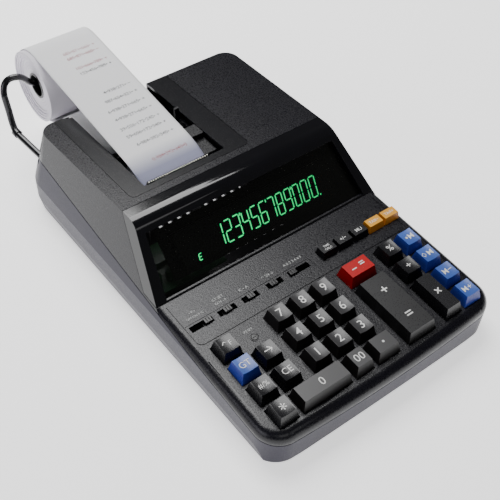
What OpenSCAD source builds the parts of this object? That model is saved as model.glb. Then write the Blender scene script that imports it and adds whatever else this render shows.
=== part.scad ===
/* [Body] */
// Overall width of the body
body_w = 210; // [205:1:214]
// Wall thickness of the moulded shells
wall = 2.5; // [2:0.1:3]
// Tilt of the keyboard deck
deck_deg = 2.6; // [2:0.1:3.2]
// Radius of the soft shoulder round the deck
shoulder_r = 7; // [5:0.5:8]
// Height of the deck's front edge above the table
deck_front_z = 32; // [31:0.5:33]
// Gap of the parting groove between the two case halves
parting_gap = 0.8; // [0.5:0.1:1.2]

/* [Keys] */
// Width of a standard key at its skirt
key_w = 16; // [15:0.1:16.4]
// Depth of a standard key at its skirt
key_d = 16.4; // [15:0.1:16.8]
// Height of a key above the deck
key_h = 9.4; // [7:0.1:10]
// Gap between a key and its opening
key_gap = 0.5; // [0.4:0.1:0.7]
// Radius of the dish across a number key
dish_r = 20; // [16:1:40]

/* [Printer and paper] */
// Width of the paper strip
paper_w = 57; // [55:0.5:58]
// Outside radius of the paper roll
roll_r = 30.6; // [20:0.2:30.6]
// Outside radius of the roll's core
core_r = 11; // [10:0.5:12]
// Thickness of the drawn paper strip
paper_t = 0.4; // [0.3:0.1:0.5]
// Radius of the bent wire arm
wire_r = 2.8; // [2.4:0.1:3]

/* [Hidden] */
$fn = 64;
hw = body_w / 2;
yf = -205;
yr = 125;
bow_r = 1446;
corner_r = 20;
corner_y = 22.54;
rear_y = 100;
hood_c = hw - 25;
roll_y = 173;
roll_z = 66;
paper_x0 = -61.5;
paper_x1 = paper_x0 + paper_w;
open_x0 = -63.5;
open_x1 = 8.5;
col = [-92, -72.25, -46.3, -26.5, -6.8, 21.75, 57.8, 77.5];
row = [-193.5, -173.5, -153.5, -133.5];
// [name, column, row, width, depth, style]: 0 dished, 1 flat, 2 lightly dished
keys = [
  ["key_feed", 0, 3, key_w, key_d, 2], ["key_gt", 0, 2, key_w, key_d, 2],
  ["key_nonadd", 0, 1, key_w, key_d, 2], ["key_total", 0, 0, key_w, key_d, 2],
  ["key_arrow", 1, 2, key_w, key_d, 2], ["key_ce", 1, 1, key_w, key_d, 2],
  ["key_0", 1, 0, 42.1, key_d, 1], ["key_00", 3, 0, key_w, key_d, 1],
  ["key_dot", 4, 0, 20.25, key_d, 1],
  ["key_1", 2, 1, key_w, key_d, 0], ["key_2", 3, 1, key_w, key_d, 0], ["key_3", 4, 1, key_w, key_d, 0],
  ["key_4", 2, 2, key_w, key_d, 0], ["key_5", 3, 2, key_w, key_d, 0], ["key_6", 4, 2, key_w, key_d, 0],
  ["key_7", 2, 3, key_w, key_d, 0], ["key_8", 3, 3, key_w, key_d, 0], ["key_9", 4, 3, key_w, key_d, 0],
  ["key_minus", 5, 3, 24.9, key_d, 1], ["key_plus", 5, 0, 26, 56.4, 1],
  ["key_percent", 6, 3, key_w, key_d, 2], ["key_divide", 6, 2, key_w, key_d, 2],
  ["key_multiply", 6, 0, key_w, 36.4, 1],
  ["key_mem_total", 7, 3, key_w, key_d, 2], ["key_mem_sub", 7, 2, key_w, key_d, 2],
  ["key_mem_minus", 7, 1, key_w, key_d, 2], ["key_mem_plus", 7, 0, key_w, key_d, 2]
];
// small upper keys: [name, centre x, width]
smalls = [["key_time", 30.2, 14], ["key_sign", 45.7, 14], ["key_markup", 61.2, 14],
          ["key_tax_minus", 76.9, 14.6], ["key_tax_plus", 92.6, 14.6]];
small_y = -96;
small_d = 9.6;
small_h = 5.6;
// slide switches: [name, slot left, slot right, knob centre]
switches = [["switch_1", -94, -75, -79.5], ["switch_2", -70, -55, -62.5], ["switch_3", -49, -35, -42],
            ["switch_4", -27, -13, -21.3], ["switch_5", -7, 12, -3.5]];
switch_y = -96.8;
reset_x = -61.7;
reset_y = -127;

// the deck's own frame: origin at its front edge, z = 0 on the deck
module deck() translate([0, yf, deck_front_z]) rotate([deck_deg, 0, 0]) children();
// deck frame, but with y given as the row's own y
module decky() deck() translate([0, -yf, 0]) children();
// a polygon of [y, z] points drawn out along x from x0 to x1
module yz(x0, x1) translate([x0, 0, 0]) rotate([90, 0, 90]) linear_extrude(x1 - x0) children();
// a polygon of [x, z] points drawn out along y from y0 to y1
module xz(y0, y1) translate([0, y1, 0]) rotate([90, 0, 0]) linear_extrude(y1 - y0) children();
module box(x0, x1, y0, y1, z0, z1) translate([x0, y0, z0]) cube([x1 - x0, y1 - y0, z1 - z0]);
module xcyl(x0, x1, y, z, r) translate([x0, y, z]) rotate([0, 90, 0]) cylinder(h = x1 - x0, r = r);
module rod(a, b, r) {
  v = b - a;
  l = norm(v);
  translate(a) rotate([0, acos(v[2] / l), atan2(v[1], v[0])]) cylinder(h = l, r = r);
}

// shoulder profile of the deck, o is the inset of the inner skin
module edge_profile(r, o) {
  translate([0, -60]) square([r - shoulder_r, 60 - o]);
  translate([0, -60]) square([r - o, 60 - shoulder_r]);
  translate([r - shoulder_r, -shoulder_r]) circle(r = shoulder_r - o);
}
module deck_section(o) {
  w = hw - shoulder_r;
  translate([-w, -60]) square([2 * w, 60 - o]);
  translate([-(hw - o), -60]) square([2 * (hw - o), 60 - shoulder_r]);
  for (s = [-1, 1]) translate([s * w, -shoulder_r]) circle(r = shoulder_r - o);
}
module front_body(o) deck() {
  for (s = [-1, 1]) translate([s * (hw - corner_r), corner_y, 0]) rotate_extrude() edge_profile(corner_r, o);
  intersection() {
    translate([0, bow_r, 0]) rotate_extrude($fn = 720) edge_profile(bow_r, o);
    translate([0, 0, -70]) linear_extrude(80)
      polygon([[-77.4, 150], [-(hw - corner_r + 2.02), -11.4], [hw - corner_r + 2.02, -11.4], [77.4, 150]]);
  }
  translate([0, 150, 0]) rotate([90, 0, 0]) linear_extrude(150 - corner_y) deck_section(o);
}
// side taper of the hood: half width against height
module side_taper(o) polygon([[-(hw - 2.5 - o), 2 + o], [hw - 2.5 - o, 2 + o], [hw - o, 14], [hw - o, 30],
  [hw - 2 - o, 37.5], [hw - 14 - o, 80.5], [hw - 14.5 - o, 82.5], [-(hw - 14.5 - o), 82.5],
  [-(hw - 14 - o), 80.5], [-(hw - 2 - o), 37.5], [-(hw - o), 30], [-(hw - o), 14]]);
function roof_z(y) = 80.02 - 0.0481 * y;
module hood_profile(o) {
  f = 1.414 * o;
  polygon([[-76, 2 + o], [-76, 30.2 - f], [-29.36 + 0.707 * o, 76.84 - 0.707 * o], [-19.46, 66.94],
    [-18.79 - 0.048 * o, 80.92 - o], [rear_y + 12.6 - o, 74.58 - o], [rear_y + 23 - o, 37.5],
    [rear_y + 25 - o, 30], [rear_y + 25 - o, 14], [rear_y + 22.5 - o, 2 + o]]);
  translate([-19.46, 66.94]) circle(r = 14 - o);
}
module rear_corners(o) for (s = [-1, 1]) translate([s * hood_c, rear_y, 0]) difference() {
  translate([s > 0 ? 0 : -45, 0, -1]) cube([45, 45, 90]);
  rotate_extrude() polygon([[0, -2], [22.5 - o, -2], [22.5 - o, 2 + o], [25 - o, 14], [25 - o, 30],
    [23 - o, 37.5], [11 - o, 80.5], [10.4 - o, 82.5], [10 - o, 92], [0, 92]]);
}
module body(o) difference() {
  intersection() {
    union() {
      front_body(o);
      yz(-hw, hw) hood_profile(o);
    }
    xz(yf - 5, yr + 5) side_taper(o);
    yz(-hw - 5, hw + 5) polygon([[yf + 3.5 + o, 2 + o], [yf - 3, 14], [yf - 3, 90], [yr + 5, 90], [yr + 5, 2 + o]]);
  }
  rear_corners(o);
}
// parting line: rises from the front edge to the rear wall
function part_z(y) = 22.4 + 0.095 * (y - yf);
module above_parting(d) yz(-hw - 5, hw + 5) polygon([[yf - 10, part_z(yf - 10) + d], [yr + 10, part_z(yr + 10) + d],
  [yr + 10, 100], [yf - 10, 100]]);
// region taken by the glossy display frame, g widens it on the hood side
module frame_zone(g) intersection() {
  yz(-hw - 5, hw + 5) polygon([[-150, -59.5 - g], [60, 150.5 - g], [-150, 150.5]]);
  deck() translate([-hw - 5, 80, 0.3 - g]) cube([body_w + 10, 150, 90]);
}
// display face frame: origin at the foot of the sloping face, y up the slope, z out of the face
module face() translate([0, -68, 38.2]) rotate([45, 0, 0]) children();
module window_shape(b, h0, h1) polygon([[-(93.2 + b), h0], [93.2 + b, h0], [86.2 + b, h1], [-(86.2 + b), h1]]);
module arm_slot() {
  box(-100, -90.7, 106, 130, 45.2, 57.5);
  box(-97.2, -90.7, 96, 130, 45.2, 57.5);
}
module paper_notch() box(open_x0 - 1, open_x1 + 1, 96, 130, 60.5, 90);

module bottom_case() color([0.25, 0.24, 0.28]) difference() {
  union() {
    difference() { body(0); body(wall); above_parting(-parting_gap / 2); }
    // inner lip that closes the groove from inside
    difference() {
      intersection() { body(wall + 0.4); above_parting(-6); }
      body(wall + 1.9);
      intersection() { translate([0, 0, 2]) body(wall + 1.9); box(-hw, hw, yf, -58, 10, 60); }
      above_parting(3);
      box(-hw, hw, -80, -58, 30, 50);
    }
    intersection() {
      difference() { body(wall - 0.5); above_parting(-1.2); }
      difference() { above_parting(-6.5); body(wall + 1.9); }
    }
    for (x = [-78, 78], y = [-176, 92]) translate([x, y, 3]) cylinder(h = y < 0 ? 8 : 26, r = 4.6);
    for (x = [-62, -14, 34], y = [10, 72]) translate([x, y, 3]) cylinder(h = 30.5, r = 3.5);
    arm_bearing();
    box(-90.5, -84.5, 96, 112, 4, 41);
  }
  for (x = [-78, 78], y = [-176, 92]) translate([x, y, -1]) { cylinder(h = 40, r = 1.8); cylinder(h = 5.4, r = 3.6); }
  for (x = [-70, 70], y = [-150, 66]) translate([x, y, -1]) cylinder(h = 4, r = 8.3);
  for (i = [0 : 9]) box(-40 + 9 * i, -36 + 9 * i, -30, 30, -1, 8);
  translate([62, yr - 10, 20]) rotate([-90, 0, 0]) cylinder(h = 20, r = 5.05);
  arm_slot();
}

module key_openings() {
  for (k = keys) decky() translate([col[k[1]] - key_gap, row[k[2]] - key_gap, -12])
    cube([k[3] + 2 * key_gap, k[4] + 2 * key_gap, 30]);
  for (s = smalls) decky() translate([s[1] - s[2] / 2 - key_gap, small_y - small_d / 2 - key_gap, -12])
    cube([s[2] + 2 * key_gap, small_d + 2 * key_gap, 20]);
  for (s = switches) decky() translate([s[1], switch_y - 2.6, -12]) cube([s[2] - s[1], 5.2, 20]);
  decky() translate([reset_x, reset_y, -12]) cylinder(h = 20, r = 2.3);
}
module deck_grooves() decky() {
  // U shaped groove round the upper panel
  for (s = [-1, 1]) translate([s * 97 - 0.4, -107, -0.7]) cube([0.8, 36, 2]);
  translate([-92, -112.4, -0.7]) cube([184, 0.8, 2]);
  for (s = [-1, 1]) translate([s * 92, -107, -0.7]) intersection() {
    difference() { cylinder(h = 2, r = 5.4); translate([0, 0, -1]) cylinder(h = 4, r = 4.6); }
    translate([s > 0 ? 0 : -10, -10, -1]) cube([10, 10, 4]);
  }
  // recessed band of the slide switches
  translate([-96, switch_y - 4.3, -0.5]) cube([111, 8.6, 2]);
  // ring round the reset button
  translate([reset_x, reset_y, -0.5]) difference() { cylinder(h = 2, r = 3.4); translate([0, 0, -1]) cylinder(h = 4, r = 2.8); }
}
module cover_zone(g, z0) intersection() {
  union() {
    box(-74 - g, 24 + g, -2.5 - g, 140, z0, 100);
    box(-78 - g, 27.5 + g, 1.5 - g, 140, z0, 100);
    for (x = [-74, 23.5]) translate([x, 1.5, z0]) cylinder(h = 100 - z0, r = 4 + g);
  }
  box(-100, 100, -20, rear_y + 13, z0, 100);
}
module top_cover() color([0.12, 0.12, 0.14]) difference() {
  union() {
    difference() {
      intersection() {
        difference() { body(0); body(wall); }
        above_parting(parting_gap / 2);
      }
      deck_grooves();
      cover_zone(0.4, 68);
    }
    // ledge that the lift-off cover sits on
    intersection() {
      difference() { body(wall - 0.1); body(wall + 1.4); }
      union() {
        box(-79.5, -75.8, 4, 110, 66, 100);
        box(25.4, 29, 4, 110, 66, 100);
        box(-70, 20, -4, -0.4, 66, 100);
      }
    }
  }
  frame_zone(0.5);
  key_openings();
  paper_notch();
  arm_slot();
}
module display_frame() color([0.05, 0.05, 0.06]) difference() {
  intersection() { body(0); frame_zone(0); }
  intersection() {
    body(wall + 0.6);
    yz(-hw, hw) polygon([[-100, -100], [-100, 6.2 - 6.2], [20, 120.4], [60, 120], [60, -100]]);
  }
  face() translate([0, 0, -12]) linear_extrude(30) window_shape(0, 1.6, 50.6);
}
module display_window() color([0.3, 0.33, 0.3, 0.5]) face() translate([0, 0, -6.6])
  linear_extrude(2) window_shape(2.2, 2.6, 52.2);
module display_tube() color([0.1, 0.14, 0.13]) {
  face() translate([-66, 14, -15]) cube([142, 27, 6]);
  face() translate([-74, 8, -18.6]) cube([158, 40, 1.6]);
  for (x = [-52, 62]) face() translate([x, 18, -17]) cube([3, 19, 2]);
}
module printer_cover() color([0.1, 0.1, 0.12]) difference() {
  intersection() {
    difference() { body(0); body(2); }
    cover_zone(0, 68.4);
    box(-100, 100, -20, 130, 68.4, 100);
  }
  box(open_x0, open_x1, 4, 130, 50, 100);
  intersection() {
    translate([open_x0, 118, 60]) cylinder(h = 40, r = 9);
    box(open_x0 - 10, open_x0 + 1, 109, 130, 50, 100);
  }
}
module paper_cutter() color([0.8, 0.8, 0.78]) union() {
  box(-61, -5, 4.3, 5.1, 75.2, 80.2);
  for (i = [0 : 27]) translate([-60 + 2 * i, 5.1, 80.2]) rotate([90, 0, 0])
    linear_extrude(0.8) polygon([[-1, 0], [1, 0], [0, 1.4]]);
}
module printer_frame() color([0.13, 0.13, 0.15]) difference() {
  union() {
    box(-68, 12, 6, 86, 36.5, 39);
    box(-68, -65.8, 6, 86, 36.5, 70);
    box(9.8, 12, 6, 86, 36.5, 70);
    // paper guides seen in the opening
    box(-4, 7.6, 12, 40, 68, 74);
    box(-4, 7.6, 30, 42, 72, 78.5);
    box(-4, -2.6, 12, 42, 60, 74);
    box(7.2, 11, 12, 60, 66.2, 70);
    box(-65.9, -62.5, 46, 78, 64, 73.5);
    box(-63.2, -62.5, 48, 56, 70, 76.5);
    box(1.6, 5.4, 60, 62.2, 66, 84);
    box(1.6, 9.9, 56, 66, 64, 67);
    xcyl(-66, 10, 31, 44.5, 2);
    xcyl(-66, 10, 31, 50.5, 1.6);
    for (x = [-48, -18]) translate([x, spool_y, 38]) cylinder(h = 12, r = 1.92);
  }
  xcyl(-70, 14, 62, 56, 2.55);
  for (x = [-62, -14, 34], y = [10, 72]) translate([x, y, 30]) cylinder(h = 12, r = 1.2);
}
module platen_roller() color([0.18, 0.18, 0.18]) {
  xcyl(-63.5, 7.5, 62, 56, 7);
  xcyl(-67.7, 11.7, 62, 56, 2.5);
}
module print_carriage() color([0.3, 0.3, 0.32]) difference() {
  box(-44, -26, 26, 38, 40.5, 54);
  xcyl(-70, 14, 31, 44.5, 2.05);
  xcyl(-70, 14, 31, 50.5, 1.65);
}
module spool(x) translate([x, spool_y, 44]) {
  difference() {
    union() { cylinder(h = 1, r = 7.4); cylinder(h = 5, r = 5.6); translate([0, 0, 4.6]) cylinder(h = 1, r = 7.4); }
    translate([0, 0, -1]) cylinder(h = 10, r = 2);
  }
}
module ribbon_spool_left() color([0.6, 0.1, 0.1]) spool(-48);
module ribbon_spool_right() color([0.1, 0.1, 0.1]) spool(-18);

// centre line of the bent wire arm: along the case, up and round into the core
arm = concat([[-94, 104, 49], [-97.8, 143, 52.0]],
  [for (t = [0 : 0.2 : 1]) bez([-97.8, 143, 52], [-97.9, 149, 52.4], [-95.2, 158, 63], t)],
  [for (t = [0 : 0.1 : 1]) bez([-93.6, 166, 73], [-91.4, 172.6, 86.4], [-79.6, 167.6, 85.6], t)],
  [for (t = [0.2 : 0.2 : 1]) bez([-79.6, 167.6, 85.6], [-74.6, 168.4, 83.2], [-70.4, 170.4, 76.6], t)],
  [for (t = [0.25 : 0.25 : 1]) bez([-70.4, 170.4, 76.6], [-66.4, 172.8, 70.2], [-58, 173, 69.4], t)],
  [[-28, 173, 69.2]]);
function bez(a, b, c, t) = a * (1 - t) * (1 - t) + 2 * b * t * (1 - t) + c * t * t;
function unit(v) = v / norm(v);
function tangent(p, i) = let (n = len(p)) unit(p[min(i + 1, n - 1)] - p[max(i - 1, 0)]);
// a round wire of radius r swept along the points p, k flats round it
module wire(p, r, k) {
  n = len(p);
  pts = [for (i = [0 : n - 1]) let (t = tangent(p, i), u = unit(cross([1, -1, 1], t)), v = cross(t, u))
    for (j = [0 : k - 1]) p[i] + r * (cos(360 * j / k) * u + sin(360 * j / k) * v)];
  polyhedron(points = pts, faces = concat([[for (j = [0 : k - 1]) j]],
    [for (i = [0 : n - 2], j = [0 : k - 1]) let (a = i * k + j, b = i * k + (j + 1) % k) [b, a, b + k]],
    [for (i = [0 : n - 2], j = [0 : k - 1]) let (a = i * k + j, b = i * k + (j + 1) % k) [b + k, a, a + k]],
    [[for (j = [0 : k - 1]) n * k - 1 - j]]));
}
module roll_arm() color([0.06, 0.06, 0.06]) {
  clean = [for (i = [0 : len(arm) - 1]) if (i == 0 || norm(arm[i] - arm[i - 1]) > 0.5) arm[i]];
  wire(clean, wire_r, 24);
  rod([-96.6, 104, 49], [-81, 104, 49], wire_r);
  rod([-97.5, 141.2, 51.85], [-97.9, 146, 52.3], wire_r + 0.7);
}
module arm_bearing() difference() {
  box(-90.5, -84.5, 96, 112, 40, 57);
  xcyl(-100, -80, 104, 49, wire_r + 0.05);
}
module roll_core() color([0.05, 0.05, 0.05]) difference() {
  xcyl(paper_x0 - 0.6, paper_x1 + 0.6, roll_y, roll_z, core_r);
  xcyl(paper_x0 - 5, paper_x1 + 5, roll_y, roll_z, core_r - 1.7);
}
module paper_roll() color([0.95, 0.95, 0.95]) difference() {
  union() {
    xcyl(paper_x0, paper_x1, roll_y, roll_z, roll_r);
    for (i = [0 : 3]) difference() {
      xcyl(paper_x0 - 1 - 0.9 * i, paper_x0 + 1, roll_y, roll_z, roll_r - 6 + 2 * i);
      xcyl(paper_x0 - 9, paper_x0 + 2, roll_y, roll_z, roll_r - 8 + 2 * i);
    }
  }
  xcyl(paper_x0 - 9, paper_x1 + 5, roll_y, roll_z, core_r);
}
// centre line of the paper: off the roll's underside, round the platen, out over the top of the roll
wr = roll_r + 0.55;
spool_y = 15;
web = concat(
  [for (a = [-20 : 9.5 : 37]) [roll_y + wr * sin(-a), roll_z - wr * cos(a)]],
  [[134, 56.5], [124, 63.6], [116, 65.8], [104, 66.4], [92, 67], [80, 66.4], [70, 64.6]],
  [for (a = [70 : -20 : -110]) [62 + 7.6 * cos(a), 56 + 7.6 * sin(a)]],
  [[50, 52.2], [38, 56.8], [26, 61.2], [16, 64.4], [10.6, 66.8], [8.2, 69.4], [8.8, 71.6], [12, 74.4], [20, 77.8], [29, 80.2],
   [37, 81.5], [60, 84.2], [90, 87.6], [120, 91.2], [145, 94.6]],
  [for (a = [6 : -8 : -98]) [roll_y + (wr + 0.1) * cos(90 + a), roll_z + (wr + 0.1) * sin(90 + a)]]);
function nrm(p, q) = let (d = q - p) [-d[1], d[0]] / norm(d);
function side(i) = let (n = len(web)) i == 0 ? nrm(web[0], web[1]) : i == n - 1 ? nrm(web[n - 2], web[n - 1])
  : let (a = nrm(web[i - 1], web[i]) + nrm(web[i], web[i + 1])) a / norm(a);
module paper_web() color([0.97, 0.97, 0.98]) {
  n = len(web);
  yz(paper_x0, paper_x1) polygon(concat([for (i = [0 : n - 1]) web[i] + side(i) * paper_t / 2],
    [for (i = [n - 1 : -1 : 0]) web[i] - side(i) * paper_t / 2]));
}

module key_frame() color([0.5, 0.5, 0.52]) {
  decky() difference() {
    translate([-98, -190, -12]) cube([196, 118, 1.6]);
    for (k = keys) translate([col[k[1]] + k[3] / 2 - 4, row[k[2]] + k[4] / 2 - 4, -20]) cube([8, 8, 20]);
    for (s = smalls) translate([s[1] - 3, small_y - 3, -20]) cube([6, 6, 20]);
    for (s = switches) translate([s[1] - 3, switch_y - 5, -20]) cube([s[2] - s[1] + 6, 10, 20]);
    translate([reset_x, reset_y, -20]) cylinder(h = 20, r = 3);
    for (x = [-78, 78]) translate([x, -176, -20]) cylinder(h = 20, r = 5.2);
  }
}
module circuit_boards() color([0.1, 0.35, 0.18]) {
  decky() difference() {
    translate([-96, -196, -19.6]) cube([192, 122, 1.4]);
    for (x = [-78, 78]) translate([x, -176, -24]) cylinder(h = 20, r = 6);
  }
  translate([-90, -50, 24]) cube([62, 46, 1.6]);
  for (i = [0 : 4]) translate([-84 + 11 * i, -40, 25.4]) cylinder(h = 9, r = 3.5);
  translate([-84, -26, 25.4]) cube([22, 8, 4]);
  translate([-54, -26, 25.4]) cube([16, 16, 3]);
}
module transformer() color([0.35, 0.35, 0.38]) {
  box(38, 88, 40, 84, 7, 46);
  box(44, 82, 37, 87, 14, 39);
  box(34, 92, 56, 68, 4.9, 8);
}
module cord_gland() color([0.05, 0.05, 0.05]) translate([62, yr - 6, 20]) rotate([-90, 0, 0]) difference() {
  union() { cylinder(h = 5, r = 5); translate([0, 0, -2]) cylinder(h = 2.5, r = 7); translate([0, 0, 6.4]) cylinder(h = 5, r = 6.6); cylinder(h = 8, r = 4.9); }
  translate([0, 0, -4]) cylinder(h = 20, r = 3);
}
module rubber_feet() color([0.08, 0.08, 0.08]) for (x = [-70, 70], y = [-150, 66]) translate([x, y, 0]) {
  cylinder(h = 2.9, r = 8);
}
module screws() color([0.7, 0.7, 0.72]) for (x = [-78, 78], y = [-176, 92]) translate([x, y, 2.2]) difference() {
  union() { cylinder(h = 2.1, r = 3.2); cylinder(h = y < 0 ? 9.6 : 24, r = 1.5); }
  translate([-1.6, -0.3, -1]) cube([3.2, 0.6, 1.8]);
  translate([-0.3, -1.6, -1]) cube([0.6, 3.2, 1.8]);
}
module reset_button() color([0.15, 0.15, 0.16]) decky() translate([reset_x, reset_y, 0]) difference() {
  union() { translate([0, 0, -4]) cylinder(h = 4.4, r = 2.0); translate([0, 0, -9]) cylinder(h = 6, r = 2.8); }
  translate([-1.5, -0.3, 0]) cube([3, 0.6, 2]);
}
module knob(i) color([0.1, 0.1, 0.1]) decky() translate([switches[i][3], switch_y, 0]) {
  translate([-3.5, -3.6, -5]) cube([7, 7.2, 1.6]);
  translate([-3, -2.2, -4]) cube([6, 4.4, 4]);
  for (s = [-1, 0, 1]) translate([s * 2.2 - 0.8, -2.2, -0.5]) cube([1.6, 4.4, 2]);
  translate([-3, -2.2, -0.5]) cube([6, 4.4, 1.4]);
}

// a key: two trapezoids crossed, an optional dish, a skirt and a stem
module keycap(w, d, h, ix, iy, dish) difference() {
  union() {
    intersection() {
      translate([0, d + 1, 0]) rotate([90, 0, 0]) linear_extrude(d + 2)
        polygon([[0, 0], [w, 0], [w - ix, h], [ix, h]]);
      translate([-1, 0, 0]) rotate([90, 0, 90]) linear_extrude(w + 2)
        polygon([[0, 0], [d, 0], [d - iy * 0.8, h], [iy * 1.2, h]]);
    }
    translate([0, 0, -4.5]) cube([w, d, 4.6]);
  }
  if (dish > 0) translate([w / 2, -1, h + dish - 0.9]) rotate([-90, 0, 0]) cylinder(h = d + 2, r = dish);
  translate([1.2, 1.2, -5]) cube([w - 2.4, d - 2.4, 7.5]);
}
module main_key(n, c) {
  k = keys[n];
  w = k[3];
  d = k[4];
  color(c) decky() translate([col[k[1]], row[k[2]], 0]) {
    keycap(w, d, key_h, 1.9, 1.9, k[5] == 0 ? dish_r : k[5] == 2 ? dish_r * 1.6 : 0);
    translate([w / 2 - 3.5, d / 2 - 3.5, -14]) cube([7, 7, 17.5]);
  }
}
module small_key(n, c) {
  s = smalls[n];
  color(c) decky() translate([s[1] - s[2] / 2, small_y - small_d / 2, 0]) {
    keycap(s[2], small_d, small_h, 0.7, 1.1, 0);
    translate([s[2] / 2 - 2.5, small_d / 2 - 2.5, -14]) cube([5, 5, 17.5]);
  }
}
dark = [0.12, 0.12, 0.13];
grey = [0.35, 0.35, 0.37];
blue = [0.25, 0.35, 0.75];
red = [0.8, 0.08, 0.08];
yellow = [0.98, 0.72, 0.25];

module key_feed() main_key(0, dark);
module key_gt() main_key(1, blue);
module key_nonadd() main_key(2, dark);
module key_total() main_key(3, dark);
module key_arrow() main_key(4, dark);
module key_ce() main_key(5, dark);
module key_0() main_key(6, grey);
module key_00() main_key(7, grey);
module key_dot() main_key(8, grey);
module key_1() main_key(9, grey);
module key_2() main_key(10, grey);
module key_3() main_key(11, grey);
module key_4() main_key(12, grey);
module key_5() main_key(13, grey);
module key_6() main_key(14, grey);
module key_7() main_key(15, grey);
module key_8() main_key(16, grey);
module key_9() main_key(17, grey);
module key_minus() main_key(18, red);
module key_plus() main_key(19, dark);
module key_percent() main_key(20, dark);
module key_divide() main_key(21, dark);
module key_multiply() main_key(22, dark);
module key_mem_total() main_key(23, blue);
module key_mem_sub() main_key(24, blue);
module key_mem_minus() main_key(25, blue);
module key_mem_plus() main_key(26, blue);
module key_time() small_key(0, dark);
module key_sign() small_key(1, dark);
module key_markup() small_key(2, dark);
module key_tax_minus() small_key(3, yellow);
module key_tax_plus() small_key(4, yellow);
module switch_1() knob(0);
module switch_2() knob(1);
module switch_3() knob(2);
module switch_4() knob(3);
module switch_5() knob(4);

bottom_case();
top_cover();
display_frame();
display_window();
display_tube();
printer_cover();
paper_cutter();
printer_frame();
platen_roller();
print_carriage();
ribbon_spool_left();
ribbon_spool_right();
roll_arm();
roll_core();
paper_roll();
paper_web();
key_frame();
circuit_boards();
transformer();
cord_gland();
rubber_feet();
screws();
reset_button();
switch_1();
switch_2();
switch_3();
switch_4();
switch_5();
key_feed();
key_gt();
key_nonadd();
key_total();
key_arrow();
key_ce();
key_0();
key_00();
key_dot();
key_1();
key_2();
key_3();
key_4();
key_5();
key_6();
key_7();
key_8();
key_9();
key_minus();
key_plus();
key_percent();
key_divide();
key_multiply();
key_mem_total();
key_mem_sub();
key_mem_minus();
key_mem_plus();
key_time();
key_sign();
key_markup();
key_tax_minus();
key_tax_plus();
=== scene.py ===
"""Looks of a desktop printing calculator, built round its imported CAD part."""

import math

import bmesh
import bpy
import numpy as np
from mathutils import Matrix, Vector


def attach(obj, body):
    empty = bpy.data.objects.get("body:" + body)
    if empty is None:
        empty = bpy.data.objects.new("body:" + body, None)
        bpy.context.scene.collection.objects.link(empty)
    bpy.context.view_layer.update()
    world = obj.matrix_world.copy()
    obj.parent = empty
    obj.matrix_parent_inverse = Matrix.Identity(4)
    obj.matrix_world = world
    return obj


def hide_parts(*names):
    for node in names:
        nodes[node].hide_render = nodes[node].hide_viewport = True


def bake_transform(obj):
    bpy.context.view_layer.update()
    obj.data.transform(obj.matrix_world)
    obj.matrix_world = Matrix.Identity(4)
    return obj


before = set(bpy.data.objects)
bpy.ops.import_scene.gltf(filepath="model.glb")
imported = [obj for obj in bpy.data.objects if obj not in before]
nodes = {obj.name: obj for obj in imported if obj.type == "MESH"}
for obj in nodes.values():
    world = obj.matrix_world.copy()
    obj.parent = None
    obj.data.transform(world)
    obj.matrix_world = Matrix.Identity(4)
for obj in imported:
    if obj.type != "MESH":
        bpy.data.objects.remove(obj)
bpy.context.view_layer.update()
MM = 0.001

# ---------------------------------------------------------------- shared sizes (mm)
DECK_DEG, FACE_DEG = 2.6, 45.0
DECK_ORIGIN = (0.0, -205.0, 32.0)
KEY_W, KEY_D, KEY_H = 16.0, 16.4, 9.4
DISH = 20.0
COLS = [-92, -72.25, -46.3, -26.5, -6.8, 21.75, 57.8, 77.5]
ROWS = [-193.5, -173.5, -153.5, -133.5]
FACE_ORIGIN = (0.0, -68.0, 38.2)
ROLL = (173.0, 66.0)
ROLL_R = 30.6
PAPER = (-61.5, -4.5)
PLATEN, PLATEN_R = (62.0, 56.0), 7.6
WORLD_LIGHT, FLOOR_GLOW = 0.10, 1.1
MIX_A, MIX_B, MIX_OUT = 6, 7, 2  # colour sockets of a mix node set to RGBA


def deck_matrix(x=0.0, y=0.0, z=0.0):
    """Deck frame in metres, with y given as the row's own y."""
    turn = Matrix.Rotation(math.radians(DECK_DEG), 4, "X")
    at = Matrix.Translation(Vector(DECK_ORIGIN) * MM)
    return at @ turn @ Matrix.Translation(Vector((x, y - DECK_ORIGIN[1], z)) * MM)


def face_matrix(x=0.0, s=0.0, out=0.0):
    """Frame of the sloping display face: x across, s up the slope, out towards the user."""
    turn = Matrix.Rotation(math.radians(FACE_DEG), 4, "X")
    at = Matrix.Translation(Vector(FACE_ORIGIN) * MM)
    return at @ turn @ Matrix.Translation(Vector((x, s, out)) * MM)


# ---------------------------------------------------------------- materials
def new_material(name):
    mat = bpy.data.materials.new(name)
    mat.use_nodes = True
    tree = mat.node_tree
    shader = tree.nodes["Principled BSDF"]
    coords = tree.nodes.new("ShaderNodeTexCoord")
    return mat, tree, shader, coords.outputs["Object"]


def noise(tree, coords, scale, detail=2.0, rough=0.5):
    n = tree.nodes.new("ShaderNodeTexNoise")
    n.inputs["Scale"].default_value = scale
    n.inputs["Detail"].default_value = detail
    n.inputs["Roughness"].default_value = rough
    tree.links.new(coords, n.inputs["Vector"])
    return n.outputs["Fac"]


def ramp(tree, value, low, high, at=(0.3, 0.7)):
    r = tree.nodes.new("ShaderNodeValToRGB")
    r.color_ramp.elements[0].position = at[0]
    r.color_ramp.elements[1].position = at[1]
    r.color_ramp.elements[0].color = (*low, 1)
    r.color_ramp.elements[1].color = (*high, 1)
    tree.links.new(value, r.inputs["Fac"])
    return r.outputs["Color"]


def bump(tree, shader, height, strength, distance):
    b = tree.nodes.new("ShaderNodeBump")
    b.inputs["Strength"].default_value = strength
    b.inputs["Distance"].default_value = distance
    tree.links.new(height, b.inputs["Height"])
    tree.links.new(b.outputs["Normal"], shader.inputs["Normal"])


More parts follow.
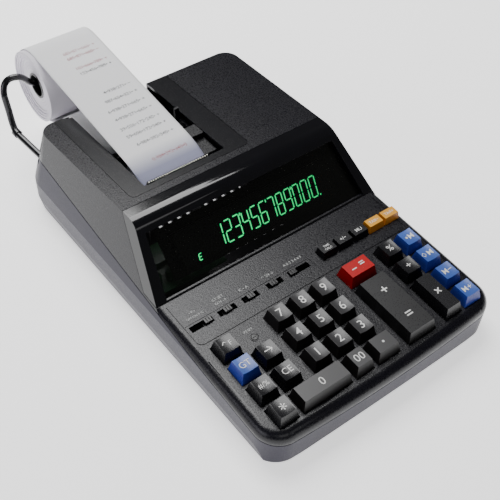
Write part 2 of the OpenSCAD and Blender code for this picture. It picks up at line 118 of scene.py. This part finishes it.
def plastic(name, base, rough=0.45, grain=900.0, relief=0.25, vary=0.18, spec=0.5, spread=0.08, coat=0.0):
    """Moulded plastic: a fine grain in relief, and a faint unevenness in colour and gloss."""
    mat, tree, shader, coords = new_material(name)
    cloud = noise(tree, coords, 38.0, 3.0)
    low = tuple(c * (1 - vary) for c in base)
    high = tuple(min(1.0, c * (1 + vary)) for c in base)
    tree.links.new(ramp(tree, cloud, low, high), shader.inputs["Base Color"])
    fine = noise(tree, coords, grain, 2.0, 0.6)
    gloss = ramp(tree, fine, (rough - spread,) * 3, (rough + spread,) * 3)
    tree.links.new(gloss, shader.inputs["Roughness"])
    shader.inputs["Specular IOR Level"].default_value = spec
    shader.inputs["Coat Weight"].default_value = coat
    shader.inputs["Coat Roughness"].default_value = 0.12
    if relief > 0:
        bump(tree, shader, fine, relief, 0.00012)
    return mat


def key_plastic(name, top, side, rough=0.3):
    """Keycap plastic with painted light: the top is painted lighter and the sides painted darker, as light
    falls on them.
    """
    mat = plastic(name, top, rough, 1200, 0.06, 0.08, 0.5, 0.04)
    tree = mat.node_tree
    shader = tree.nodes["Principled BSDF"]
    # painted light: colour runs from the painted shade of the sides to the lit top colour as the face turns
    # upwards
    facing = tree.nodes.new("ShaderNodeTexCoord").outputs["Normal"]
    split = tree.nodes.new("ShaderNodeSeparateXYZ")
    tree.links.new(facing, split.inputs[0])
    span = tree.nodes.new("ShaderNodeMapRange")
    span.inputs["From Min"].default_value = 0.55
    span.inputs["From Max"].default_value = 0.93
    tree.links.new(split.outputs["Z"], span.inputs["Value"])
    mix = tree.nodes.new("ShaderNodeMix")
    mix.data_type = "RGBA"
    tree.links.new(span.outputs[0], mix.inputs["Factor"])
    mix.inputs[MIX_A].default_value = (*side, 1)
    tree.links.new(shader.inputs["Base Color"].links[0].from_socket, mix.inputs[MIX_B])
    tree.links.new(mix.outputs[MIX_OUT], shader.inputs["Base Color"])
    return mat


def metal(name, base, rough=0.3, grain=600.0):
    mat, tree, shader, coords = new_material(name)
    streak = noise(tree, coords, grain, 2.0)
    tree.links.new(ramp(tree, streak, tuple(c * 0.8 for c in base), base), shader.inputs["Base Color"])
    tree.links.new(ramp(tree, streak, (rough * 0.7,) * 3, (rough * 1.3,) * 3), shader.inputs["Roughness"])
    shader.inputs["Metallic"].default_value = 1.0
    return mat


def glow(name, colour, strength):
    """Lit phosphor: its glow is a little uneven along each segment."""
    mat, tree, shader, coords = new_material(name)
    uneven = noise(tree, coords, 420.0, 2.0)
    dim = tuple(c * 0.82 for c in colour)
    tree.links.new(ramp(tree, uneven, dim, colour), shader.inputs["Emission Color"])
    shader.inputs["Emission Strength"].default_value = strength
    shader.inputs["Base Color"].default_value = (0.0, 0.02, 0.01, 1)
    shader.inputs["Roughness"].default_value = 0.6
    return mat


def multiplied(tree, colour, layer):
    """Colour darkened by a second colour."""
    mix = tree.nodes.new("ShaderNodeMix")
    mix.data_type = "RGBA"
    mix.blend_type = "MULTIPLY"
    mix.inputs["Factor"].default_value = 1.0
    tree.links.new(colour, mix.inputs[MIX_A])
    tree.links.new(layer, mix.inputs[MIX_B])
    return mix.outputs[MIX_OUT]


def paper_material(name, tint=(0.93, 0.93, 0.94), rings=False, crest=None):
    """Plain paper. The roll's ends show the edges of its turns; the strip gets painted bluish shade below its
    crest.
    """
    mat, tree, shader, coords = new_material(name)
    fibre = noise(tree, coords, 1500.0, 4.0, 0.7)
    colour = ramp(tree, fibre, tuple(c * 0.965 for c in tint), tint)
    height = fibre
    if crest:
        # painted shade: the strip is darkened and tinted blue towards low y, below its crest
        split = tree.nodes.new("ShaderNodeSeparateXYZ")
        tree.links.new(coords, split.inputs[0])
        span = tree.nodes.new("ShaderNodeMapRange")
        span.inputs["From Min"].default_value = crest[0] * MM
        span.inputs["From Max"].default_value = crest[1] * MM
        tree.links.new(split.outputs["Y"], span.inputs["Value"])
        crest_painted_shade = ramp(tree, span.outputs[0], (0.36, 0.37, 0.50), (1, 1, 1), (0.0, 1.0))
        colour = multiplied(tree, colour, crest_painted_shade)
    if rings:
        split = tree.nodes.new("ShaderNodeSeparateXYZ")
        tree.links.new(coords, split.inputs[0])
        flat = tree.nodes.new("ShaderNodeCombineXYZ")
        tree.links.new(split.outputs["Y"], flat.inputs["Y"])
        tree.links.new(split.outputs["Z"], flat.inputs["Z"])
        away = tree.nodes.new("ShaderNodeVectorMath")
        away.operation = "DISTANCE"
        away.inputs[1].default_value = (0, ROLL[0] * MM, ROLL[1] * MM)
        tree.links.new(flat.outputs[0], away.inputs[0])
        radius = tree.nodes.new("ShaderNodeCombineXYZ")
        tree.links.new(away.outputs["Value"], radius.inputs["X"])
        turns = noise(tree, radius.outputs[0], 1900.0, 3.0, 0.8)
        broad = noise(tree, radius.outputs[0], 260.0, 2.0, 0.6)
        fine = ramp(tree, turns, (0.80, 0.78, 0.83), (1, 1, 1), (0.32, 0.55))
        wide = ramp(tree, broad, (0.84, 0.82, 0.87), (1, 1, 1), (0.35, 0.6))
        for layer in (fine, wide):
            colour = multiplied(tree, colour, layer)
        height = turns
    tree.links.new(colour, shader.inputs["Base Color"])
    shader.inputs["Roughness"].default_value = 0.75
    shader.inputs["Specular IOR Level"].default_value = 0.25
    bump(tree, shader, height, 0.25, 0.00015)
    return mat


def ink_material(name, ink, dot=1700.0):
    """Needle-printed ink: small dots with paper showing between them."""
    mat, tree, shader, coords = new_material(name)
    cell = tree.nodes.new("ShaderNodeTexVoronoi")
    cell.inputs["Scale"].default_value = dot
    cell.inputs["Randomness"].default_value = 0.35
    tree.links.new(coords, cell.inputs["Vector"])
    dots = ramp(tree, cell.outputs["Distance"], ink, (0.9, 0.9, 0.91), (0.50, 0.75))
    tree.links.new(dots, shader.inputs["Base Color"])
    shader.inputs["Roughness"].default_value = 0.7
    return mat


def smoked_glass(name):
    """Smoked window: see-through, darker towards one side, with a glossy skin."""
    mat, tree, shader, coords = new_material(name)
    cloud = noise(tree, coords, 12.0, 1.0)
    tint = ramp(tree, cloud, (0.004, 0.0042, 0.0035), (0.007, 0.0074, 0.006))
    tree.links.new(tint, shader.inputs["Base Color"])
    split = tree.nodes.new("ShaderNodeSeparateXYZ")
    tree.links.new(coords, split.inputs[0])
    span = tree.nodes.new("ShaderNodeMapRange")
    span.inputs["From Min"].default_value = -0.02
    span.inputs["From Max"].default_value = 0.10
    span.inputs["To Min"].default_value = 0.30
    span.inputs["To Max"].default_value = 0.52
    tree.links.new(split.outputs["X"], span.inputs["Value"])
    tree.links.new(span.outputs[0], shader.inputs["Alpha"])
    shader.inputs["Roughness"].default_value = 0.04
    shader.inputs["Specular IOR Level"].default_value = 0.5
    return mat


MATS = {
    "case": plastic("case_purple_grey", (0.010, 0.007, 0.026), 0.38, 1100, 0.22, 0.10, 0.4),
    "cover": plastic("cover_blue_black", (0.0030, 0.0028, 0.0060), 0.29, 900, 0.8, 0.12, 0.42, 0.07),
    "lid": plastic("lid_satin", (0.0026, 0.0026, 0.0045), 0.24, 1300, 0.20, 0.10, 0.42, 0.04),
    "frame": plastic("display_gloss", (0.002, 0.002, 0.0035), 0.10, 700, 0.02, 0.2, 0.5, 0.02, 0.2),
    "printer": plastic("printer_black", (0.004, 0.004, 0.006), 0.30, 800, 0.15, 0.2),
    "knob": plastic("knob_black", (0.004, 0.004, 0.005), 0.28, 900, 0.1, 0.2),
    "wire": plastic("wire_black", (0.003, 0.003, 0.005), 0.20, 500, 0.05, 0.2, 0.5, 0.03, 0.3),
    "core": plastic("core_black", (0.004, 0.004, 0.005), 0.40, 800, 0.2, 0.2),
    "rubber": plastic("rubber_dark", (0.006, 0.006, 0.007), 0.75, 1500, 0.4, 0.2),
    "ribbon": plastic("ribbon_spool", (0.02, 0.006, 0.012), 0.4, 900, 0.1, 0.3),
    "board": plastic("board_green", (0.01, 0.09, 0.03), 0.35, 500, 0.1, 0.3),
    "iron": plastic("transformer_iron", (0.05, 0.05, 0.06), 0.45, 300, 0.3, 0.3),
    "tube": plastic("tube_dark", (0.0025, 0.004, 0.003), 0.30, 600, 0.0, 0.3, 0.3),
    "steel": metal("steel_bright", (0.75, 0.74, 0.70), 0.22),
    "plate": metal("steel_plate", (0.45, 0.45, 0.47), 0.35),
    "window": smoked_glass("window_smoked"),
    # paper strip: painted bluish shade from y 18 mm up to the crest at 36 mm
    "paper": paper_material("paper_strip", crest=(18.0, 36.0)),
    "roll": paper_material("paper_roll_white", (0.92, 0.90, 0.94), True),
    # keycaps: the first colour is the painted lit top, the second the painted shade of the sides
    "number": key_plastic("key_number_grey", (0.050, 0.049, 0.051), (0.007, 0.006, 0.006), 0.34),
    "function": key_plastic("key_function_black", (0.011, 0.011, 0.013), (0.004, 0.004, 0.005), 0.27),
    "plus": key_plastic("key_plus_grey", (0.024, 0.024, 0.025), (0.006, 0.006, 0.006), 0.30),
    "blue": key_plastic("key_blue", (0.065, 0.14, 0.48), (0.020, 0.040, 0.30), 0.30),
    "red": key_plastic("key_red", (0.50, 0.006, 0.008), (0.30, 0.002, 0.003), 0.24),
    "yellow": key_plastic("key_yellow", (0.90, 0.42, 0.030), (0.62, 0.22, 0.012), 0.34),
    "legend": plastic("legend_white", (0.85, 0.85, 0.83), 0.5, 1500, 0.05, 0.05),
    "label": plastic("label_white", (0.50, 0.51, 0.50), 0.5, 1500, 0.05, 0.10),
    "phosphor": glow("phosphor_green", (0.015, 1.0, 0.26), 2.6),
    "ink": ink_material("ink_black", (0.03, 0.03, 0.04)),
    "ink_red": ink_material("ink_red", (0.35, 0.03, 0.06)),
}

NODE_MATS = {
    "bottom_case": "case", "top_cover": "cover", "display_frame": "frame", "display_window": "window",
    "display_tube": "tube", "printer_cover": "lid", "paper_cutter": "steel", "printer_frame": "printer",
    "platen_roller": "rubber", "print_carriage": "printer", "ribbon_spool_left": "ribbon",
    "ribbon_spool_right": "ribbon", "roll_arm": "wire", "roll_core": "core", "paper_roll": "roll",
    "paper_web": "paper", "key_frame": "plate", "circuit_boards": "board", "transformer": "iron",
    "cord_gland": "rubber", "rubber_feet": "rubber", "screws": "steel", "reset_button": "knob",
}
NUMBERS = {"key_%d" % i for i in range(10)} | {"key_00", "key_dot"}
BLUES = {"key_gt", "key_mem_total", "key_mem_sub", "key_mem_minus", "key_mem_plus"}


def finish_of(name):
    if name in NODE_MATS:
        return NODE_MATS[name]
    if name.startswith("switch_"):
        return "knob"
    if name in NUMBERS:
        return "number"
    if name in BLUES:
        return "blue"
    if name.startswith("key_tax"):
        return "yellow"
    return {"key_minus": "red", "key_plus": "plus", "key_multiply": "function"}.get(name, "function")


def soften(obj, width, segments=3, angle=30.0):
    """Rounds the hard edges that a CAD node has in the solid."""
    weld = obj.modifiers.new("weld", "WELD")
    weld.merge_threshold = 0.000004
    flat = obj.modifiers.new("flat", "DECIMATE")
    flat.decimate_type = "DISSOLVE"
    flat.angle_limit = math.radians(0.6)
    edge = obj.modifiers.new("edge", "BEVEL")
    edge.width = width * MM
    edge.segments = segments
    edge.limit_method = "ANGLE"
    edge.angle_limit = math.radians(angle)
    edge.harden_normals = True
    edge.use_clamp_overlap = True


SOFT_EDGES = {
    "bottom_case": 0.35, "top_cover": 0.35, "display_frame": 0.5, "printer_cover": 0.3, "printer_frame": 0.25,
    "transformer": 0.4, "reset_button": 0.2, "cord_gland": 0.4, "rubber_feet": 0.4,
}
for name, obj in nodes.items():
    obj.data.materials.clear()
    obj.data.materials.append(MATS[finish_of(name)])
    if name.startswith("key_") and name != "key_frame":
        soften(obj, 0.35, 3, 35)
    elif name.startswith("switch_"):
        soften(obj, 0.2, 2)
    elif name == "roll_arm":
        soften(obj, 0.45, 2, 4)
    elif name in SOFT_EDGES:
        soften(obj, SOFT_EDGES[name])


# ---------------------------------------------------------------- mesh helpers
def mesh_object(name, verts, faces, material):
    mesh = bpy.data.meshes.new(name)
    mesh.from_pydata([tuple(v) for v in verts], [], faces)
    mesh.validate()
    mesh.update()
    mesh.materials.append(material)
    obj = bpy.data.objects.new(name, mesh)
    bpy.context.scene.collection.objects.link(obj)
    return obj


def glyph_mesh(text, size, bold=0.0):
    """Outline of a short legend as flat triangles in mm, centred on its own box."""
    curve = bpy.data.curves.new("legend", "FONT")
    curve.body = text
    curve.size = size
    curve.align_x = "CENTER"
    curve.align_y = "CENTER"
    curve.offset = bold
    curve.resolution_u = 3
    holder = bpy.data.objects.new("legend", curve)
    bpy.context.scene.collection.objects.link(holder)
    bpy.context.view_layer.update()
    mesh = bpy.data.meshes.new_from_object(holder.evaluated_get(bpy.context.evaluated_depsgraph_get()))
    bpy.data.objects.remove(holder)
    bm = bmesh.new()
    bm.from_mesh(mesh)
    bmesh.ops.triangulate(bm, faces=bm.faces)
    bmesh.ops.subdivide_edges(bm, edges=[e for e in bm.edges if e.calc_length() > size * 0.12], cuts=1)
    verts = [Vector((v.co.x, v.co.y, 0)) for v in bm.verts]
    faces = [[v.index for v in f.verts] for f in bm.faces]
    bm.free()
    if verts:
        mid = (Vector([max(v[i] for v in verts) for i in range(3)])
               + Vector([min(v[i] for v in verts) for i in range(3)])) / 2
        verts = [v - mid for v in verts]
    return verts, faces


def joined(name, parts, material):
    """One mesh out of several (verts, faces) lists."""
    verts, faces = [], []
    for v, f in parts:
        start = len(verts)
        verts += list(v)
        faces += [[i + start for i in face] for face in f]
    return mesh_object(name, verts, faces, material)


# ---------------------------------------------------------------- key legends
def dish_height(dx, radius):
    """Height of a dished key top above the deck at dx from its middle."""
    if radius <= 0:
        return KEY_H
    return min(KEY_H, KEY_H + radius - 0.9 - math.sqrt(max(radius * radius - dx * dx, 0)))


def key_legend(node, col, row, w, d, radius, items, lift=0.22):
    """items: (text, size, dx, dy, bold) round the middle of the key's top."""
    parts = []
    for text, size, dx, dy, bold in items:
        verts, faces = glyph_mesh(text, size, bold)
        place = deck_matrix(COLS[col] + w / 2, ROWS[row] + d / 2 + 0.35)
        out = []
        for v in verts:
            x, y = v.x + dx, v.y + dy
            out.append(place @ (Vector((x, y, dish_height(x, radius) + lift)) * MM))
        parts.append((out, faces))
    obj = joined("legend_" + node[4:], parts, MATS["legend"])
    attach(obj, node)


LIGHT_DISH = DISH * 1.6
LEGENDS = [
    ("key_feed", 0, 3, KEY_W, KEY_D, LIGHT_DISH, [("↑", 7.0, -1.6, 0, 0.02), ("F", 5.4, 2.4, -0.4, 0.02)]),
    ("key_gt", 0, 2, KEY_W, KEY_D, LIGHT_DISH, [("GT", 7.0, 0, 0, 0.02)]),
    ("key_nonadd", 0, 1, KEY_W, KEY_D, LIGHT_DISH, [("#/%", 5.4, 0, 0, 0.02)]),
    ("key_total", 0, 0, KEY_W, KEY_D, LIGHT_DISH, [("*", 12, 0, 0, 0.05)]),
    ("key_arrow", 1, 2, KEY_W, KEY_D, LIGHT_DISH, [("→", 9, 0, 0, 0.05)]),
    ("key_ce", 1, 1, KEY_W, KEY_D, LIGHT_DISH, [("CE", 7.0, 0, 0, 0.02)]),
    ("key_0", 1, 0, 42.1, KEY_D, 0, [("0", 8.6, 0, 0, 0.03)]),
    ("key_00", 3, 0, KEY_W, KEY_D, 0, [("00", 8.4, 0, 0, 0.03)]),
    ("key_dot", 4, 0, 20.25, KEY_D, 0, [("•", 7.5, 0, 0, 0.02)]),
    ("key_minus", 5, 3, 24.9, KEY_D, 0, [("−", 8.5, -4.2, -0.6, 0.10), ("=", 8.5, 4.0, 1.2, 0.10)]),
    ("key_plus", 5, 0, 26, 56.4, 0, [("+", 11, 0, 13, 0.12), ("=", 11, 0, -12.5, 0.12)]),
    ("key_percent", 6, 3, KEY_W, KEY_D, LIGHT_DISH, [("%", 7.4, 0, 0, 0.03)]),
    ("key_divide", 6, 2, KEY_W, KEY_D, LIGHT_DISH, [("÷", 8.4, 0, 0, 0.07)]),
    ("key_multiply", 6, 0, KEY_W, 36.4, 0, [("×", 10.5, 0, 0, 0.10)]),
    ("key_mem_total", 7, 3, KEY_W, KEY_D, LIGHT_DISH, [("∗M", 6.6, 0, 0, 0.03)]),
    ("key_mem_sub", 7, 2, KEY_W, KEY_D, LIGHT_DISH, [("◇", 4.6, -3.8, 0, 0.03), ("M", 6.6, 2.0, 0, 0.03)]),
    ("key_mem_minus", 7, 1, KEY_W, KEY_D, LIGHT_DISH, [("M−", 6.6, 0, 0, 0.03)]),
    ("key_mem_plus", 7, 0, KEY_W, KEY_D, LIGHT_DISH, [("M+", 6.6, 0, 0, 0.03)]),
]
for digit in range(1, 10):
    LEGENDS.append(("key_%d" % digit, 2 + (digit - 1) % 3, 1 + (digit - 1) // 3, KEY_W, KEY_D, DISH,
                    [(str(digit), 9.6, 0, 0, 0.03)]))
for entry in LEGENDS:
    key_legend(*entry)

SMALL_Y, SMALL_H = -96.0, 5.6
SMALL_KEYS = [
    ("key_time", 30.2, [("TIME", 2.5, 0, 1.5, 0.03), ("CALC", 2.5, 0, -1.4, 0.03)]),
    ("key_sign", 45.7, [("+/−", 4.2, 0, 0, 0.04)]),
    ("key_markup", 61.2, [("MU", 4.2, 0, 0, 0.04)]),
    ("key_tax_minus", 76.9, [("TAX−", 3.6, 0, 0, 0.04)]),
    ("key_tax_plus", 92.6, [("TAX+", 3.6, 0, 0, 0.04)]),
]
for node, x, items in SMALL_KEYS:
    parts = []
    for text, size, dx, dy, bold in items:
        verts, faces = glyph_mesh(text, size, bold)
        place = deck_matrix(x, SMALL_Y + 0.2, SMALL_H + 0.12)
        parts.append(([place @ (Vector((v.x + dx, v.y + dy, 0)) * MM) for v in verts], faces))
    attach(joined("legend_" + node[4:], parts, MATS["legend"]), node)

# ---------------------------------------------------------------- printed labels on the deck
SWITCH_LABELS = [
    (-84.5, -84.6, "• P •", 3.0), (-84.5, -88.6, "OFF ON P IC", 2.5),
    (-62.5, -84.6, "GT SET", 3.0), (-62.5, -88.6, "RATE • 0", 2.5),
    (-42.0, -88.2, "K • A", 3.6),
    (-20.5, -88.2, "↑ 5/4 ↓", 3.2),
    (3.0, -88.2, "A 0 2 3 4 6 F", 3.2),
    (-61.7, -119.8, "RESET", 2.8),
]
parts = []
for x, y, text, size in SWITCH_LABELS:
    verts, faces = glyph_mesh(text, size, 0.02)
    place = deck_matrix(x, y, 0.06)
    parts.append(([place @ (v * MM) for v in verts], faces))
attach(joined("deck_labels", parts, MATS["label"]), "case")


# ---------------------------------------------------------------- lit digits behind the window
SEG_W, SEG_H, SEG_T, SEG_GAP = 5.4, 16.0, 1.05, 0.22
SLANT = math.tan(math.radians(9))


def bar(x0, y0, x1, y1, t):
    """A segment with pointed ends from (x0, y0) to (x1, y1)."""
    a, b = Vector((x0, y0)), Vector((x1, y1))
    d = (b - a).normalized()
    n = Vector((-d.y, d.x)) * t / 2
    tip = d * t / 2
    ring = [a, a + tip + n, b - tip + n, b, b - tip - n, a + tip - n]
    return [Vector((p.x, p.y, 0)) for p in ring], [list(range(6))]


def segments(digit):
    """The lit bars of one figure in its own cell, lower left at the origin."""
    w, h, g = SEG_W, SEG_H, SEG_GAP
    m = h / 2
    lines = {
        "a": (g, h, w - g, h), "b": (w, m + g, w, h - g), "c": (w, g, w, m - g), "d": (g, 0, w - g, 0),
        "e": (0, g, 0, m - g), "f": (0, m + g, 0, h - g), "g": (g, m, w - g, m),
    }
    lit = {"0": "abcdef", "1": "bc", "2": "abged", "3": "abgcd", "4": "fgbc", "5": "afgcd",
           "6": "afgedc", "7": "abc", "8": "abcdefg", "9": "abfgcd"}[digit]
    return [bar(*lines[s], SEG_T) for s in lit]


def slanted(part, x, s, out):
    verts, faces = part
    place = face_matrix(x, s, out)
    return [place @ (Vector((v.x + v.y * SLANT, v.y, 0)) * MM) for v in verts], faces


DIGIT_X0, DIGIT_PITCH, DIGIT_S, DIGIT_OUT = -34.6, 8.15, 16.2, -8.85
shown = "123456789000"
parts = []
for i, digit in enumerate(shown):
    for part in segments(digit):
        parts.append(slanted(part, DIGIT_X0 + i * DIGIT_PITCH, DIGIT_S, DIGIT_OUT))
for i in (3, 6, 9):
    tick = bar(-1.3, SEG_H - 2.2, -1.3, SEG_H + 0.5, 1.0)
    parts.append(slanted(tick, DIGIT_X0 + i * DIGIT_PITCH, DIGIT_S, DIGIT_OUT))
parts.append(slanted(bar(1.4, 0, 3.0, 0, 1.5), DIGIT_X0 + 11 * DIGIT_PITCH + SEG_W, DIGIT_S, DIGIT_OUT))
for line in ((0, 0, 0, 4.6), (0, 4.6, 2.6, 4.6), (0, 2.3, 2.3, 2.3), (0, 0, 2.6, 0)):
    parts.append(slanted(bar(*line, 0.8), -53.6, 14.4, DIGIT_OUT))
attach(joined("lit_digits", parts, MATS["phosphor"]), "case")


# ---------------------------------------------------------------- paper strip
def bezier(a, b, c, n):
    return [(a[0] * (1 - t) ** 2 + 2 * b[0] * t * (1 - t) + c[0] * t * t,
             a[1] * (1 - t) ** 2 + 2 * b[1] * t * (1 - t) + c[1] * t * t) for t in np.linspace(0, 1, n)]


def strip_line():
    """Side view (y, z) of the strip in mm: off the roll's underside, through the printer, over the roll."""
    r = ROLL_R + 0.5
    line = [(ROLL[0] + r * math.sin(a), ROLL[1] - r * math.cos(a)) for a in np.radians(np.linspace(20, 0, 6))]
    line += bezier((168, 35.2), (146, 40), (132, 57), 14)
    line += bezier((130, 59.4), (124, 66), (112, 66.3), 10)
    line += bezier((108, 66.4), (92, 67), (78, 66.0), 10)
    line += [(PLATEN[0] + PLATEN_R * math.cos(a), PLATEN[1] + PLATEN_R * math.sin(a))
             for a in np.radians(np.linspace(70, -110, 26))]
    line += bezier((50, 52.2), (38, 56.8), (20, 63.2), 14)
    line += bezier((17, 64.2), (8.4, 66.6), (8.7, 71.0), 10)
    line += bezier((9.4, 72.4), (20, 79.4), (34, 81.0), 16)
    line += bezier((36.5, 81.4), (90, 87.6), (158, 96.0), 30)
    top = ROLL_R + 0.8
    line += [(ROLL[0] + top * math.sin(a), ROLL[1] + top * math.cos(a))
             for a in np.radians(np.linspace(-7, 96, 34))]
    return [Vector(p) for p in line]


def normals_of(line):
    out = []
    for i in range(len(line)):
        d = line[min(i + 1, len(line) - 1)] - line[max(i - 1, 0)]
        out.append(Vector((-d.y, d.x)).normalized())
    return out


LINE = strip_line()
SIDE = normals_of(LINE)
STEPS = [0.0]
for before, after in zip(LINE[:-1], LINE[1:]):
    STEPS.append(STEPS[-1] + (after - before).length)
STRIP_LEN = STEPS[-1]
HALF_T = 0.09
ACROSS = 24


def on_strip(x, s, out):
    """Point at x mm across and s mm along the strip, out mm off its middle surface."""
    i = min(max(int(np.searchsorted(STEPS, s)) - 1, 0), len(LINE) - 2)
    t = (s - STEPS[i]) / max(STEPS[i + 1] - STEPS[i], 1e-9)
    p = LINE[i].lerp(LINE[i + 1], t)
    n = SIDE[i].lerp(SIDE[i + 1], t).normalized()
    return Vector((x, p.x + n.x * out, p.y + n.y * out)) * MM


def build_strip():
    verts, faces = [], []
    xs = np.linspace(PAPER[0], PAPER[1], ACROSS + 1)
    for side in (1, -1):
        for s in STEPS:
            verts += [on_strip(x, s, side * HALF_T) for x in xs]
    w, n = ACROSS + 1, len(STEPS)
    for i in range(n - 1):
        for j in range(ACROSS):
            a = i * w + j
            faces.append([a, a + 1, a + 1 + w, a + w])
            b = a + n * w
            faces.append([b + w, b + 1 + w, b + 1, b])
    for i in range(n - 1):
        for j in (0, ACROSS):
            a, b = i * w + j, n * w + i * w + j
            faces.append([a, a + w, b + w, b] if j == 0 else [a + w, a, b, b + w])
    for i in (0, n - 1):
        for j in range(ACROSS):
            a, b = i * w + j, n * w + i * w + j
            faces.append([a + 1, a, b, b + 1] if i == 0 else [a, a + 1, b + 1, b])
    return mesh_object("paper_strip", verts, faces, MATS["paper"])


strip = build_strip()
for poly in strip.data.polygons:
    poly.use_smooth = True
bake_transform(strip)
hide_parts("paper_web")

# printed figures: (distance along the strip from its crest, figures, red)
PAST_CUTTER, CREST_Y = 90, 35.0  # the line's points after the cutter, and where its crest stands
CREST = STEPS[next(i for i, p in enumerate(LINE) if i > PAST_CUTTER and p.x > CREST_Y)]
PRINTS = [
    (-11.5, "0.984•392•340•0", True), (6.5, "6•984•392•340• +", False),
    (17.0, "59•606•172•240• ×", False), (26.0, "39•506•172•240• +", False),
    (37.0, "4•938•271•665• ÷", False), (47.0, "6•938•271•665• =", False),
    (58.0, "987•654•321• ×", False), (68.0, "4•938•271• −", False),
    (96.0, "123•456•789• +", False), (103.0, "103•666•789• +", True),
    (116.0, "685•871•660• −", True), (123.0, "685•871•660• +", True),
]
for colour in (False, True):
    parts = []
    for along, figures, red in PRINTS:
        if red != colour:
            continue
        verts, faces = glyph_mesh(figures, 4.6, 0.05)
        right = max(v.x for v in verts)
        mid = PAPER[1] - 7.0 - right
        parts.append(([on_strip(mid + v.x, CREST + along + v.y, HALF_T + 0.05) for v in verts], faces))
    ink = joined("print_red" if colour else "print_black", parts, MATS["ink_red" if colour else "ink"])
    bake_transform(ink)

# ---------------------------------------------------------------- stage, light and camera
floor = mesh_object("floor", [(-6, -6, 0), (6, -6, 0), (6, 6, 0), (-6, 6, 0)], [[0, 1, 2, 3]],
                    plastic("floor_pale", (0.90, 0.90, 0.90), 0.8, 40, 0.0, 0.01, 0.1))
floor_shader = floor.data.materials[0].node_tree.nodes["Principled BSDF"]
floor_shader.inputs["Emission Color"].default_value = (1, 1, 1, 1)
floor_shader.inputs["Emission Strength"].default_value = FLOOR_GLOW


def area_light(name, at, aim, size, power, colour=(1, 1, 1)):
    light = bpy.data.lights.new(name, "AREA")
    light.shape = "RECTANGLE"
    light.size, light.size_y = size
    light.energy = power
    light.color = colour
    obj = bpy.data.objects.new(name, light)
    bpy.context.scene.collection.objects.link(obj)
    obj.location = at
    obj.rotation_euler = (Vector(aim) - Vector(at)).to_track_quat("-Z", "Y").to_euler()
    return obj


area_light("panel", (0.20, 0.95, 1.6), (0.20, 0.95, 0.0), (1.1, 1.5), 44)
area_light("left_fill", (-1.6, -0.1, 0.75), (0.0, 0.0, 0.04), (1.2, 0.8), 7, (0.93, 0.92, 1.0))
area_light("front_fill", (-0.4, -1.7, 1.5), (0.0, -0.1, 0.0), (1.2, 0.8), 4)

world = bpy.data.worlds.new("studio")
bpy.context.scene.world = world
world.use_nodes = True
world.node_tree.nodes["Background"].inputs["Color"].default_value = (1, 1, 1, 1)
world.node_tree.nodes["Background"].inputs["Strength"].default_value = WORLD_LIGHT

CAMERA_AT = Vector((-310.94, -427.40, 537.05)) * MM
TURN, LIFT, ROLL_ANGLE = math.radians(-38.921), math.radians(46.704), math.radians(2.074)
back = Vector((math.sin(TURN) * math.cos(LIFT), -math.cos(TURN) * math.cos(LIFT), math.sin(LIFT)))
right = Vector((0, 0, 1)).cross(back).normalized()
up = back.cross(right)
right, up = (right * math.cos(ROLL_ANGLE) + up * math.sin(ROLL_ANGLE),
             up * math.cos(ROLL_ANGLE) - right * math.sin(ROLL_ANGLE))
data = bpy.data.cameras.new("camera")
data.sensor_width = 36
data.lens = 66.34
data.clip_end = 20
camera = bpy.data.objects.new("camera", data)
bpy.context.scene.collection.objects.link(camera)
turn = Matrix((right, up, back)).transposed().to_4x4()
camera.matrix_world = Matrix.Translation(CAMERA_AT) @ turn
bpy.context.scene.camera = camera
